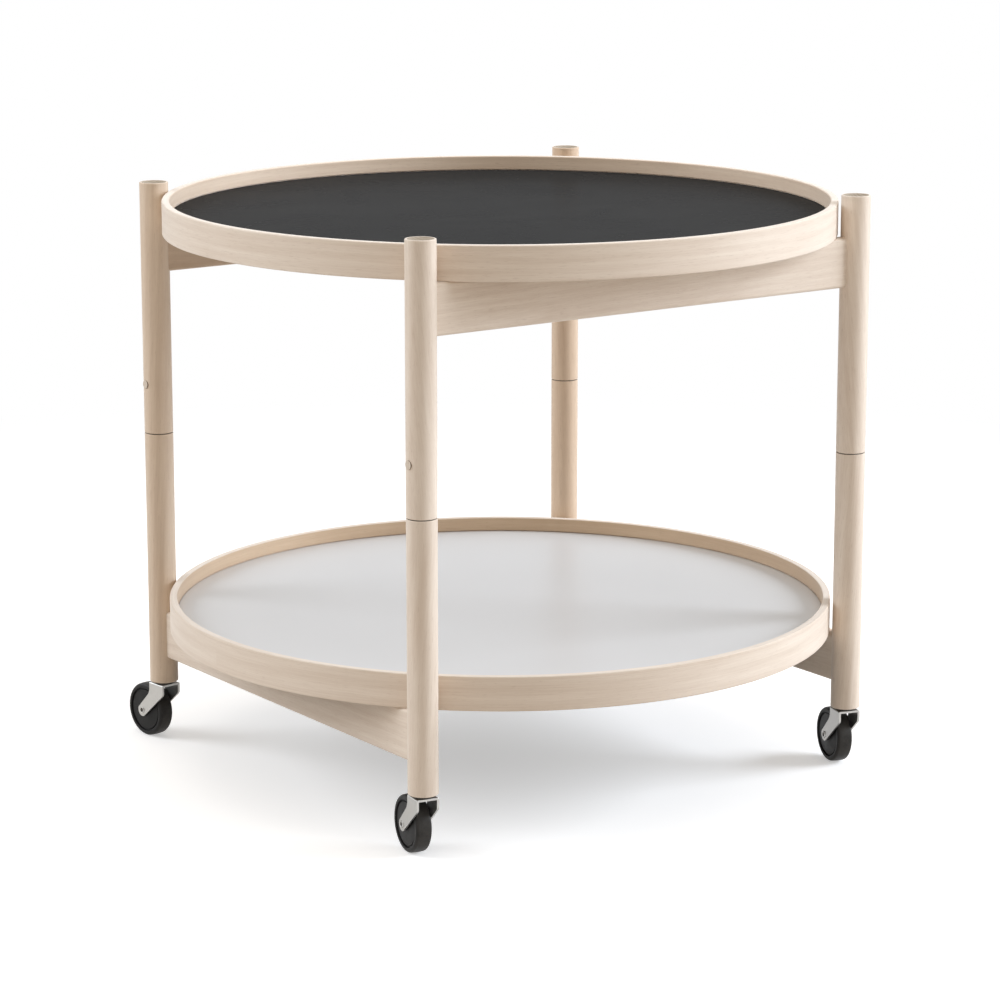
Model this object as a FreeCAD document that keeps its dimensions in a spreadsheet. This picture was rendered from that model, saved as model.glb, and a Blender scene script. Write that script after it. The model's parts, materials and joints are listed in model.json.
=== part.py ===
# Round tray table on casters: two loose trays in a folding frame of four split round legs.
# Millimetres, +Z up. The origin is on the floor, under the centre of the four legs.
# The upper rails run along X and the lower rails along Y, so the frame is a flat four-bar
# linkage that turns about the pins in the middle of the legs.
import FreeCAD, Part
import math
import os
import Sketcher

sizes = {
    # trays: a bent hoop with a thin board let into its inner face, and a laminate on each side of
    # the board that stops at the rim
    "tray_diameter": 600,
    "rim_height": 30,
    "rim_thickness": 7,
    "rim_edge_radius": 1.2,
    "rim_groove_depth": 3,
    "board_thickness": 1.8,
    "laminate_thickness": 0.6,
    "laminate_edge_gap": 0.25,
    # frame
    "overall_height": 522,
    "leg_above_rim": 7,
    "seam_height": 292,
    "lower_tray_height": 124.5,
    "frame_length": 460,
    "leg_diameter": 26,
    "tray_leg_gap": 2.525,
    # the legs stand just outside the trays, so one side of the frame follows from the other
    "leg_circle": "=tray_diameter + 2 * tray_leg_gap + leg_diameter",
    "frame_width": "=sqrt(leg_circle^2 - frame_length^2)",
    "leg_end_radius": 0.8,
    "leg_dish_depth": 4,
    "leg_dish_lip": 1.8,
    # rails and their dowels
    "rail_height": 44,
    "rail_thickness": 14,
    "rail_inset": 3.5,
    "rail_edge_radius": 3,
    "dowel_diameter": 8,
    "dowel_in_leg": 9,
    "dowel_in_rail": 22,
    "dowel_end_gap": 0.5,
    "dowel_spacing": 18,
    # pivots in the leg seams
    "washer_thickness": 0.8,
    "washer_diameter": 20,
    "pin_diameter": 8,
    "pin_in_lower_leg": 40,
    "pin_in_upper_leg": 56,
    "pin_end_gap": 1,
    "peg_height": 45.5,
    "peg_diameter": 8,
    "peg_proud": 0.4,
    "peg_tip_diameter": 4,
    "peg_head_length": 7,
    "peg_tip_gap": 0.3,
    "pin_groove_depth": 1.2,
    "pin_groove_gap": 0.15,
    # casters
    "wheel_diameter": 50,
    "wheel_width": 14.5,
    "tread_radius": 4,
    "wheel_ring_width": 4.5,
    "wheel_groove_width": 1.8,
    "wheel_groove_depth": 1.1,
    "bush_diameter": 9,
    "axle_diameter": 5,
    "axle_head_diameter": 7,
    "axle_head_height": 0.8,
    "bush_side_gap": 0.3,
    "caster_trail": 21.5,
    "fork_length": 20,
    "fork_thickness": 2,
    "fork_side_gap": 0.95,
    "fork_headroom": 2.5,
    "fork_bend_radius": 1.6,
    "fork_straight_height": 10,
    "fork_end_radius": 6,
    "race_height": 2,
    "race_gap": 0.3,
    "race_diameter": 17,
    "stem_diameter": 8,
    "stem_end_gap": 1.5,
    "socket_diameter": 11,
    "socket_length": 24,
    # directions in which the casters trail, in degrees from +X
    "trail_angle_front_left": 80,
    "trail_angle_front_right": 74,
    "trail_angle_back_left": 98,
    "trail_angle_back_right": 85,
    # directions from the axle to where the fork's edges meet its round end
    "fork_front_edge_angle": 247,
    "fork_back_edge_angle": 22,
    # fits
    "running_clearance": 0.05,
    "glue_gap": 0.05,
    "cut_overrun": 5,
}

doc = FreeCAD.newDocument("TrayTable")
sheet = doc.addObject("Spreadsheet::Sheet", "Sizes")
for row, (alias, value) in enumerate(sizes.items(), start=1):
    sheet.set(f"A{row}", alias)
    sheet.set(f"B{row}", str(value))
    sheet.setAlias(f"B{row}", alias)
doc.recompute()

vertical = FreeCAD.Vector(0, 0, 1)
# points closer than this are one point
same_place = 1e-5
corners = ("front_left", "front_right", "back_left", "back_right")
sub_parts = []

# places worked out from the driving sizes
leg_radius = "(Sizes.leg_diameter / 2)"
leg_bottom = "(Sizes.wheel_diameter + Sizes.fork_headroom + Sizes.fork_thickness + Sizes.race_height)"
lower_leg_top = "(Sizes.seam_height - Sizes.washer_thickness / 2)"
upper_leg_bottom = "(Sizes.seam_height + Sizes.washer_thickness / 2)"
upper_tray_bottom = "(Sizes.overall_height - Sizes.leg_above_rim - Sizes.rim_height)"
axle_height = "Sizes.wheel_diameter / 2"
fork_top = "(Sizes.wheel_diameter + Sizes.fork_headroom + Sizes.fork_thickness)"
fork_gap = "(Sizes.wheel_width + 2 * Sizes.fork_side_gap)"
fork_width = f"({fork_gap} + 2 * Sizes.fork_thickness)"


def worked_out(expression):
    """The present value of an expression in the sheet's sizes."""
    return float(sheet.evalExpression(str(expression)))


def leg_place(corner):
    """Expressions for the x and y of a leg's axis."""
    depth, side = corner.split("_")
    x_sign = "-" if side == "left" else ""
    y_sign = "-" if depth == "front" else ""
    return f"{x_sign}Sizes.frame_length / 2", f"{y_sign}Sizes.frame_width / 2"


def bind(feature, bindings):
    for path, expression in bindings.items():
        feature.setExpression(path, str(expression))


def place(feature, x="0", y="0", z="0", turn=None):
    if turn:
        feature.Placement = FreeCAD.Placement(FreeCAD.Vector(), turn)
    bind(feature, {"Placement.Base.x": x, "Placement.Base.y": y, "Placement.Base.z": z})
    return feature


def keep(feature, label):
    """Name a finished sub-part."""
    feature.Label = label
    sub_parts.append(feature)
    return feature


def draw(sketch, outline):
    """Draw a closed outline. Each corner is (across, up), or (across, up, radius, side) when the
    stretch that leads to it is an arc, bulging to the left (1) or right (-1) of the way along."""
    spots = [FreeCAD.Vector(worked_out(corner[0]), worked_out(corner[1]), 0) for corner in outline]
    for index, start in enumerate(spots):
        following = (index + 1) % len(outline)
        end = spots[following]
        if len(outline[following]) == 2:
            sketch.addGeometry(Part.LineSegment(start, end), False)
            continue
        radius = worked_out(outline[following][2])
        chord = end - start
        sagitta = radius - math.sqrt(max(radius**2 - (chord.Length / 2) ** 2, 0))
        across = FreeCAD.Vector(-chord.y, chord.x, 0).normalize()
        middle = (start + end) / 2 + across * sagitta * outline[following][3]
        first, last = (start, end) if outline[following][3] < 0 else (end, start)
        sketch.addGeometry(Part.Arc(first, middle, last), False)
    # arcs are drawn anticlockwise and may run against the outline, so each joint looks up which ends meet
    for index, corner in enumerate(outline):
        previous = (index - 1) % len(outline)
        mine = end_at(sketch, index, spots[index])
        theirs = end_at(sketch, previous, spots[index])
        sketch.addConstraint(Sketcher.Constraint("Coincident", previous, theirs, index, mine))
        hold(sketch, index, mine, "DistanceX", corner[0], spots[index].x, -2)
        hold(sketch, index, mine, "DistanceY", corner[1], spots[index].y, -1)
        if len(corner) > 2:
            number = sketch.addConstraint(Sketcher.Constraint("Radius", previous, worked_out(corner[2])))
            sketch.setExpression(f"Constraints[{number}]", corner[2])


def end_at(sketch, index, spot):
    """1 for the start or 2 for the end of a drawn stretch, whichever lies at the spot."""
    edge = sketch.Geometry[index]
    return 1 if (edge.StartPoint - spot).Length < (edge.EndPoint - spot).Length else 2


def hold(sketch, index, end, kind, expression, value, axis):
    if expression == "0":
        sketch.addConstraint(Sketcher.Constraint("PointOnObject", index, end, axis))
        return
    number = sketch.addConstraint(Sketcher.Constraint(kind, -1, 1, index, end, value))
    sketch.setExpression(f"Constraints[{number}]", expression)


def outlined_body(name, outline):
    body = doc.addObject("PartDesign::Body", name)
    plane = next(part for part in body.Origin.OriginFeatures if part.Role == "XZ_Plane")
    sketch = body.newObject("Sketcher::SketchObject", name + "_outline")
    sketch.AttachmentSupport = (plane, [""])
    sketch.MapMode = "FlatFace"
    draw(sketch, outline)
    return body, sketch


def turned(name, outline):
    """A piece turned about +Z from an outline of (radius, height) corners."""
    body, sketch = outlined_body(name, outline)
    turning = body.newObject("PartDesign::Revolution", name + "_turning")
    turning.Profile = sketch
    turning.ReferenceAxis = (sketch, ["V_Axis"])
    turning.Angle = 360
    return body


def padded(name, outline, width):
    """A piece of one section, as wide on each side of the XZ plane."""
    body, sketch = outlined_body(name, outline)
    pad = body.newObject("PartDesign::Pad", name + "_pad")
    pad.Profile = sketch
    pad.SideType = "Symmetric"
    bind(pad, {"Length": width})
    return body


def disc(name, radius, height, x="0", y="0", z="0", turn=None):
    cylinder = doc.addObject("Part::Cylinder", name)
    bind(cylinder, {"Radius": radius, "Height": height})
    return place(cylinder, x, y, z, turn)


def block(name, length, width, height, x="0", y="0", z="0"):
    box = doc.addObject("Part::Box", name)
    bind(box, {"Length": length, "Width": width, "Height": height})
    return place(box, x, y, z)


def cut(name, base, tools):
    joined = tools[0]
    if len(tools) > 1:
        joined = doc.addObject("Part::MultiFuse", name + "_tools")
        joined.Shapes = tools
    result = doc.addObject("Part::Cut", name)
    result.Base = base
    result.Tool = joined
    return result


def group(name, pieces):
    result = doc.addObject("Part::Compound", name)
    result.Links = pieces
    return result


along_x = FreeCAD.Rotation(vertical, FreeCAD.Vector(1, 0, 0))
against_x = FreeCAD.Rotation(vertical, FreeCAD.Vector(-1, 0, 0))
along_y = FreeCAD.Rotation(vertical, FreeCAD.Vector(0, 1, 0))
against_y = FreeCAD.Rotation(vertical, FreeCAD.Vector(0, -1, 0))


# trays
def tray(name, bottom, laminates):
    """A rim, a core board and its two laminates, the first of them on top."""
    outer = "Sizes.tray_diameter / 2"
    inner = f"{outer} - Sizes.rim_thickness"
    edge = "Sizes.rim_edge_radius"
    seat = f"{inner} + Sizes.rim_groove_depth"
    groove_low = "(Sizes.rim_height - Sizes.board_thickness) / 2"
    groove_high = "(Sizes.rim_height + Sizes.board_thickness) / 2"
    rim = turned(
        name + "_rim",
        [
            (f"{inner} + {edge}", "0", edge, -1),
            (f"{outer} - {edge}", "0"),
            (outer, edge, edge, -1),
            (outer, f"Sizes.rim_height - {edge}"),
            (f"{outer} - {edge}", "Sizes.rim_height", edge, -1),
            (f"{inner} + {edge}", "Sizes.rim_height"),
            (inner, f"Sizes.rim_height - {edge}", edge, -1),
            (inner, groove_high),
            (seat, groove_high),
            (seat, groove_low),
            (inner, groove_low),
            (inner, edge),
        ],
    )
    place(rim, z=bottom)
    keep(rim, name + "_rim")
    level = f"{bottom} + {groove_low} - Sizes.laminate_thickness"
    visible = f"{inner} - Sizes.laminate_edge_gap"
    layers = (
        (laminates[1], visible, "Sizes.laminate_thickness"),
        ("board", f"{seat} - Sizes.glue_gap", "Sizes.board_thickness"),
        (laminates[0], visible, "Sizes.laminate_thickness"),
    )
    for layer, radius, thickness in layers:
        sheet_disc = disc(f"{name}_{layer}", radius, thickness, z=level)
        keep(sheet_disc, f"{name}_{layer}")
        level = f"{level} + {thickness}"


tray("upper_tray", upper_tray_bottom, ("black_laminate", "white_laminate"))
tray("lower_tray", "Sizes.lower_tray_height", ("white_laminate", "black_laminate"))


# rails: the middle of each rail's section lies inside the line of its two legs
def rail_end_signs(name):
    """Unit signs of the rail's run and of the side of the table that it is on."""
    return {"front": ("x", "-"), "back": ("x", ""), "left": ("y", "-"), "right": ("y", "")}[name]


def dowel_levels(rail_bottom):
    middle = f"{rail_bottom} + Sizes.rail_height / 2"
    return f"{middle} - Sizes.dowel_spacing / 2", f"{middle} + Sizes.dowel_spacing / 2"


def dowels(name, run, offset, rail_bottom, gap, end_gap):
    """The four dowels of a rail, or with gaps the holes that take them."""
    span = "Sizes.frame_length" if run == "x" else "Sizes.frame_width"
    length = f"Sizes.dowel_in_leg + Sizes.dowel_in_rail + 2 * {end_gap}"
    # where the rail's middle plane leaves the leg
    leg_face = f"sqrt(({leg_radius})^2 - Sizes.rail_inset^2)"
    start = f"{span} / 2 - {leg_face} + Sizes.dowel_in_leg + {end_gap}"
    pieces = []
    for level in dowel_levels(rail_bottom):
        for sign in ("", "-"):
            peg = f"{name}_{len(pieces)}"
            radius = f"Sizes.dowel_diameter / 2 + {gap}"
            at_end = f"{sign}({start})"
            if run == "x":
                turn = along_x if sign else against_x
                pieces.append(disc(peg, radius, length, at_end, offset, level, turn))
            else:
                turn = along_y if sign else against_y
                pieces.append(disc(peg, radius, length, offset, at_end, level, turn))
    return pieces


def rail(name, side, rail_bottom):
    run, sign = rail_end_signs(side)
    spacing = "Sizes.frame_width" if run == "x" else "Sizes.frame_length"
    span = "Sizes.frame_length" if run == "x" else "Sizes.frame_width"
    offset = f"{sign}({spacing} / 2 - Sizes.rail_inset)"
    thickness = "Sizes.rail_thickness"
    height = "Sizes.rail_height"
    edge = "Sizes.rail_edge_radius"
    bar = padded(
        name + "_bar",
        [
            (edge, "0", edge, -1),
            (f"{thickness} - {edge}", "0"),
            (thickness, edge, edge, -1),
            (thickness, f"{height} - {edge}"),
            (f"{thickness} - {edge}", height, edge, -1),
            (edge, height),
            ("0", f"{height} - {edge}", edge, -1),
            ("0", edge),
        ],
        span,
    )
    if run == "x":
        place(bar, "0", f"{offset} - {thickness} / 2", rail_bottom, FreeCAD.Rotation(vertical, 90))
    else:
        place(bar, f"{offset} - {thickness} / 2", "0", rail_bottom)
    tools = []
    for end, end_sign in enumerate(("-", "")):
        x, y = f"{end_sign}Sizes.frame_length / 2", f"{sign}Sizes.frame_width / 2"
        if run == "y":
            x, y = f"{sign}Sizes.frame_length / 2", f"{end_sign}Sizes.frame_width / 2"
        height_of_tool = f"{height} + 2 * Sizes.cut_overrun"
        low = f"{rail_bottom} - Sizes.cut_overrun"
        tools.append(disc(f"{name}_cope_{end}", f"{leg_radius} + Sizes.glue_gap", height_of_tool, x, y, low))
    tools += dowels(name + "_hole", run, offset, rail_bottom, "Sizes.glue_gap", "Sizes.dowel_end_gap")
    keep(cut(name, bar, tools), name)
    pegs = dowels(name + "_dowel", run, offset, rail_bottom, "0", "0")
    keep(group(name + "_dowels", pegs), name + "_dowels")


upper_rail_bottom = f"({upper_tray_bottom} - Sizes.rail_height)"
lower_rail_bottom = "(Sizes.lower_tray_height - Sizes.rail_height)"
rail("upper_rail_front", "front", upper_rail_bottom)
rail("upper_rail_back", "back", upper_rail_bottom)
rail("lower_rail_left", "left", lower_rail_bottom)
rail("lower_rail_right", "right", lower_rail_bottom)


# legs
def leg_dowel_holes(name, side, rail_bottom):
    """All holes of a rail's dowels; only those at a leg's own end reach into that leg."""
    run, sign = rail_end_signs(side)
    spacing = "Sizes.frame_width" if run == "x" else "Sizes.frame_length"
    offset = f"{sign}({spacing} / 2 - Sizes.rail_inset)"
    return dowels(name, run, offset, rail_bottom, "Sizes.glue_gap", "Sizes.dowel_end_gap")


def peg_turn(corner):
    return along_x if corner.endswith("right") else against_x


def upper_leg(corner):
    name = "upper_leg_" + corner
    x, y = leg_place(corner)
    length = f"Sizes.overall_height - {upper_leg_bottom}"
    edge = "Sizes.leg_end_radius"
    dish = f"({leg_radius} - Sizes.leg_dish_lip)"
    dish_radius = f"({dish}^2 + Sizes.leg_dish_depth^2) / (2 * Sizes.leg_dish_depth)"
    stick = turned(
        name + "_stick",
        [
            ("0", "0"),
            (leg_radius, "0"),
            (leg_radius, f"{length} - {edge}"),
            (f"{leg_radius} - {edge}", length, edge, -1),
            (dish, length),
            ("0", f"{length} - Sizes.leg_dish_depth", dish_radius, 1),
        ],
    )
    place(stick, x, y, upper_leg_bottom)
    bore_length = "Sizes.pin_in_upper_leg + Sizes.pin_end_gap + Sizes.cut_overrun"
    bore_radius = "Sizes.pin_diameter / 2 + Sizes.running_clearance"
    bore = disc(name + "_bore", bore_radius, bore_length, x, y, f"{upper_leg_bottom} - Sizes.cut_overrun")
    peg_hole = disc(
        name + "_peg_hole",
        "Sizes.peg_diameter / 2 + Sizes.glue_gap",
        f"{leg_radius} + Sizes.cut_overrun",
        x,
        y,
        "Sizes.seam_height + Sizes.peg_height",
        peg_turn(corner),
    )
    side = corner.split("_")[0]
    holes = leg_dowel_holes(name + "_hole", side, upper_rail_bottom)
    keep(cut(name, stick, [bore, peg_hole] + holes), name)


def lower_leg(corner):
    name = "lower_leg_" + corner
    x, y = leg_place(corner)
    length = f"{lower_leg_top} - {leg_bottom}"
    edge = "Sizes.leg_end_radius"
    stick = turned(
        name + "_stick",
        [
            ("0", "0"),
            (f"{leg_radius} - {edge}", "0"),
            (leg_radius, edge, edge, -1),
            (leg_radius, length),
            ("0", length),
        ],
    )
    place(stick, x, y, leg_bottom)
    pin_bore = disc(
        name + "_pin_bore",
        "Sizes.pin_diameter / 2 + Sizes.glue_gap",
        "Sizes.pin_in_lower_leg + Sizes.cut_overrun",
        x,
        y,
        f"{lower_leg_top} - Sizes.pin_in_lower_leg",
    )
    socket_bore = disc(
        name + "_socket_bore",
        "Sizes.socket_diameter / 2 + Sizes.glue_gap",
        "Sizes.socket_length + Sizes.cut_overrun",
        x,
        y,
        f"{leg_bottom} - Sizes.cut_overrun",
    )
    side = corner.split("_")[1]
    holes = leg_dowel_holes(name + "_hole", side, lower_rail_bottom)
    keep(cut(name, stick, [pin_bore, socket_bore] + holes), name)


for corner in corners:
    upper_leg(corner)
    lower_leg(corner)


# pivots: a pin pressed into the lower leg turns in the upper leg, where a peg holds it by a groove
def pivot_pin(corner):
    x, y = leg_place(corner)
    radius = "Sizes.pin_diameter / 2"
    groove_radius = f"{radius} - Sizes.pin_groove_depth"
    length = "Sizes.pin_in_lower_leg + Sizes.washer_thickness + Sizes.pin_in_upper_leg"
    middle = "Sizes.pin_in_lower_leg + Sizes.washer_thickness / 2 + Sizes.peg_height"
    half_groove = "(Sizes.peg_tip_diameter / 2 + Sizes.pin_groove_gap)"
    pin = turned(
        "pivot_pin_" + corner,
        [
            ("0", "0"),
            (radius, "0"),
            (radius, f"{middle} - {half_groove}"),
            (groove_radius, f"{middle} - {half_groove}"),
            (groove_radius, f"{middle} + {half_groove}"),
            (radius, f"{middle} + {half_groove}"),
            (radius, length),
            ("0", length),
        ],
    )
    return place(pin, x, y, f"{lower_leg_top} - Sizes.pin_in_lower_leg")


def retaining_peg(corner):
    x, y = leg_place(corner)
    sign = 1 if corner.endswith("right") else -1
    tip_start = "Sizes.pin_diameter / 2 - Sizes.pin_groove_depth + Sizes.peg_tip_gap"
    length = f"{leg_radius} + Sizes.peg_proud - ({tip_start})"
    head_start = f"{length} - Sizes.peg_head_length"
    peg = turned(
        "retaining_peg_" + corner,
        [
            ("0", "0"),
            ("Sizes.peg_tip_diameter / 2", "0"),
            ("Sizes.peg_tip_diameter / 2", head_start),
            ("Sizes.peg_diameter / 2", head_start),
            ("Sizes.peg_diameter / 2", f"{length} - Sizes.peg_proud"),
            ("Sizes.peg_diameter / 2 - Sizes.peg_proud", length, "Sizes.peg_proud", -1),
            ("0", length),
        ],
    )
    level = "Sizes.seam_height + Sizes.peg_height"
    return place(peg, f"{x} + {sign} * ({tip_start})", y, level, peg_turn(corner))


def pivot_washer(corner):
    x, y = leg_place(corner)
    radius = "Sizes.washer_diameter / 2"
    hole = "Sizes.pin_diameter / 2 + Sizes.glue_gap"
    thickness = "Sizes.washer_thickness"
    outline = [(hole, "0"), (radius, "0"), (radius, thickness), (hole, thickness)]
    ring = turned("pivot_washer_" + corner, outline)
    return place(ring, x, y, lower_leg_top)


def keep_pair(label, maker, ends):
    keep(group(label, [maker(corner) for corner in ends]), label)


for side in ("left", "right"):
    ends = [corner for corner in corners if corner.endswith(side)]
    keep_pair("pivot_pins_" + side, pivot_pin, ends)
    keep_pair("pivot_washers_" + side, pivot_washer, ends)
for side in ("front", "back"):
    ends = [corner for corner in corners if corner.startswith(side)]
    keep_pair("retaining_pegs_" + side, retaining_peg, ends)


# casters, drawn with the swivel axis on Z and trailing along +X
def caster_socket(corner):
    x, y = leg_place(corner)
    outer = "Sizes.socket_diameter / 2"
    inner = "Sizes.stem_diameter / 2 + Sizes.running_clearance"
    length = "Sizes.socket_length"
    name = "caster_socket_" + corner
    sleeve = turned(name, [(inner, "0"), (outer, "0"), (outer, length), (inner, length)])
    keep(place(sleeve, x, y, leg_bottom), name)


def caster_stem(name):
    """The stem, riveted in the fork's plate, with the race on which the fork swivels."""
    radius = "Sizes.stem_diameter / 2"
    race = "Sizes.race_diameter / 2"
    race_top = "Sizes.fork_thickness + Sizes.race_height - Sizes.race_gap"
    length = "Sizes.fork_thickness + Sizes.race_height + Sizes.socket_length - Sizes.stem_end_gap"
    stem = turned(
        name,
        [
            ("0", "0"),
            (radius, "0"),
            (radius, "Sizes.fork_thickness"),
            (race, "Sizes.fork_thickness"),
            (race, race_top),
            (radius, race_top),
            (radius, length),
            ("0", length),
        ],
    )
    return place(stem, z=f"{fork_top} - Sizes.fork_thickness")


def caster_fork(name):
    """A pressed strip: a plate on top and two arms that lean back to the axle."""
    half = "Sizes.fork_length / 2"
    base = f"{axle_height} - Sizes.fork_end_radius"
    shoulder = f"{fork_top} - Sizes.fork_straight_height - ({base})"
    end = "Sizes.fork_end_radius"
    # across is measured from the front of the plate, up from the foot of the round end
    front_across = f"{half} + Sizes.caster_trail + {end} * cos(Sizes.fork_front_edge_angle)"
    front_up = f"{end} + {end} * sin(Sizes.fork_front_edge_angle)"
    back_across = f"{half} + Sizes.caster_trail + {end} * cos(Sizes.fork_back_edge_angle)"
    back_up = f"{end} + {end} * sin(Sizes.fork_back_edge_angle)"
    strip = padded(
        name + "_strip",
        [
            ("0", shoulder),
            (front_across, front_up),
            (back_across, back_up, end, -1),
            ("Sizes.fork_length", shoulder),
            ("Sizes.fork_length", f"{fork_top} - ({base})"),
            ("0", f"{fork_top} - ({base})"),
        ],
        fork_width,
    )
    doc.recompute()
    top = worked_out(f"{fork_top} - ({base})")
    bends = [
        f"Edge{index}"
        for index, edge in enumerate(strip.Shape.Edges, start=1)
        if abs(edge.BoundBox.ZMin - top) < same_place and edge.BoundBox.YLength < same_place
    ]
    pad = strip.Tip
    rounding = strip.newObject("PartDesign::Fillet", name + "_bends")
    rounding.Base = (pad, bends)
    bind(rounding, {"Radius": "Sizes.fork_bend_radius"})
    place(strip, f"-{half}", "0", base)
    reach = f"Sizes.fork_length + Sizes.caster_trail + {end} + 2 * Sizes.cut_overrun"
    wheel_space = block(
        name + "_wheel_space",
        reach,
        fork_gap,
        f"{fork_top} - Sizes.fork_thickness",
        f"-{half} - Sizes.cut_overrun",
        f"-{fork_gap} / 2",
        "0",
    )
    stem_hole = disc(
        name + "_stem_hole",
        "Sizes.stem_diameter / 2 + Sizes.glue_gap",
        "Sizes.fork_thickness + 2 * Sizes.cut_overrun",
        z=f"{fork_top} - Sizes.fork_thickness - Sizes.cut_overrun",
    )
    axle_hole = disc(
        name + "_axle_hole",
        "Sizes.axle_diameter / 2 + Sizes.glue_gap",
        f"{fork_width} + 2 * Sizes.cut_overrun",
        "Sizes.caster_trail",
        f"-{fork_width} / 2 - Sizes.cut_overrun",
        axle_height,
        along_y,
    )
    return cut(name, strip, [wheel_space, stem_hole, axle_hole])


def on_axle(feature, width):
    """Lay a turned piece along the axle, centred on the wheel."""
    return place(feature, "Sizes.caster_trail", f"-({width}) / 2", axle_height, along_y)


def caster_axle(name):
    shank = "Sizes.axle_diameter / 2"
    head = "(Sizes.axle_head_diameter / 2)"
    tall = "Sizes.axle_head_height"
    length = f"{fork_width} + 2 * {tall}"
    dome = f"({head}^2 + {tall}^2) / (2 * {tall})"
    axle = turned(
        name,
        [
            ("0", "0"),
            (head, tall, dome, -1),
            (shank, tall),
            (shank, f"{length} - {tall}"),
            (head, f"{length} - {tall}"),
            ("0", length, dome, -1),
        ],
    )
    return on_axle(axle, length)


def caster_wheel(name):
    outer = "Sizes.wheel_diameter / 2"
    bore = "Sizes.bush_diameter / 2 + Sizes.glue_gap"
    width = "Sizes.wheel_width"
    round_off = "Sizes.tread_radius"
    groove_outer = f"{outer} - Sizes.wheel_ring_width"
    groove_inner = f"{groove_outer} - Sizes.wheel_groove_width"
    depth = "Sizes.wheel_groove_depth"
    wheel = turned(
        name,
        [
            (bore, "0"),
            (groove_inner, "0"),
            (groove_inner, depth),
            (groove_outer, depth),
            (groove_outer, "0"),
            (f"{outer} - {round_off}", "0"),
            (outer, round_off, round_off, -1),
            (outer, f"{width} - {round_off}"),
            (f"{outer} - {round_off}", width, round_off, -1),
            (groove_outer, width),
            (groove_outer, f"{width} - {depth}"),
            (groove_inner, f"{width} - {depth}"),
            (groove_inner, width),
            (bore, width),
        ],
    )
    return on_axle(wheel, width)


def caster_bush(name):
    outer = "Sizes.bush_diameter / 2"
    inner = "Sizes.axle_diameter / 2 + Sizes.running_clearance"
    width = f"{fork_gap} - 2 * Sizes.bush_side_gap"
    bush = turned(name, [(inner, "0"), (outer, "0"), (outer, width), (inner, width)])
    return on_axle(bush, width)


def set_under_leg(feature, label, corner):
    """Turn a caster piece to the way its caster trails and move it under its leg."""
    x, y = leg_place(corner)
    carried = group(label, [feature])
    place(carried, x, y, "0", FreeCAD.Rotation(vertical, 90))
    bind(carried, {"Placement.Rotation.Angle": "Sizes.trail_angle_" + corner})
    keep(carried, label)


makers = {
    "caster_stem_": caster_stem,
    "caster_fork_": caster_fork,
    "caster_axle_": caster_axle,
    "caster_wheel_": caster_wheel,
    "caster_bush_": caster_bush,
}
for corner in corners:
    caster_socket(corner)
    for prefix, maker in makers.items():
        set_under_leg(maker(prefix + corner + "_piece"), prefix + corner, corner)

doc.recompute()

# nothing is written unless every feature is sound
for feature in doc.Objects:
    if {"Invalid", "Error"} & set(feature.State):
        raise RuntimeError(f"{feature.Label} failed: {feature.State}")
os.makedirs("parts", exist_ok=True)
for sub_part in sub_parts:
    shape = sub_part.Shape
    if shape.isNull() or not shape.isValid() or not shape.Solids:
        raise RuntimeError(f"{sub_part.Label} has no sound shape")
for sub_part in sub_parts:
    sub_part.Shape.exportStep(f"parts/{sub_part.Label}.step")
print(len(sub_parts), "sub-parts written")
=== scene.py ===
import json
import math
import bmesh
import bpy
from mathutils import Matrix, Vector


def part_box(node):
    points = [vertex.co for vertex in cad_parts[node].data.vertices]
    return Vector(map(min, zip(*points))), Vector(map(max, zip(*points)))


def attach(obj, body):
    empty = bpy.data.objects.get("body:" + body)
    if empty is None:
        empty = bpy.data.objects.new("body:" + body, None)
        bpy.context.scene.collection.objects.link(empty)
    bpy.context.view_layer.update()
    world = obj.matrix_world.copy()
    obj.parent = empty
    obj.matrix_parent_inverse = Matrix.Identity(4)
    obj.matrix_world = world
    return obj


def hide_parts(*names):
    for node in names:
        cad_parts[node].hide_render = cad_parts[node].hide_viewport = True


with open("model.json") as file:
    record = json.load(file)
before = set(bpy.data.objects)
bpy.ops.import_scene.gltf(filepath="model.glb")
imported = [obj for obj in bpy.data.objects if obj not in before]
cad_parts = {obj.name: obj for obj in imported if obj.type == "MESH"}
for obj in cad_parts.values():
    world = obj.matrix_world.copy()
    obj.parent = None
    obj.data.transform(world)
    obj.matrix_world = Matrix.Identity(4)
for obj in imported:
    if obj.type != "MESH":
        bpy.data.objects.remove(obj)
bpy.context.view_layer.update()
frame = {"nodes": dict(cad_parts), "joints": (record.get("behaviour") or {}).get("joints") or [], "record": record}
scene = bpy.context.scene
scene.view_settings.view_transform = "Standard"
mm = 0.001  # the pieces and patterns are sized in millimetres, the stage in metres
mixFrom, mixTo, mixOut = 6, 7, 2  # the colour sockets of a Mix node
waveLength = math.tau / 20  # one ring of the Wave texture at scale 1
corners = ("front_left", "front_right", "back_left", "back_right")
joints = {joint["name"]: joint for joint in frame["joints"]}
legPlace = {corner: Vector(joints["swivel_" + corner]["pos_m"]) for corner in corners}


def hexColour(text):
    linear = []
    for start in (1, 3, 5):
        value = int(text[start:start + 2], 16) / 255
        linear.append(value / 12.92 if value <= 0.04045 else ((value + 0.055) / 1.055) ** 2.4)
    return (*linear, 1.0)


def setInputs(tree, node, inputs):
    for socket, value in inputs.items():
        if isinstance(value, bpy.types.NodeSocket):
            tree.links.new(value, node.inputs[socket])
        else:
            node.inputs[socket].default_value = value


def addNode(tree, kind, inputs=None, **settings):
    node = tree.nodes.new(kind)
    for key, value in settings.items():
        setattr(node, key, value)
    setInputs(tree, node, inputs or {})
    return node


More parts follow.
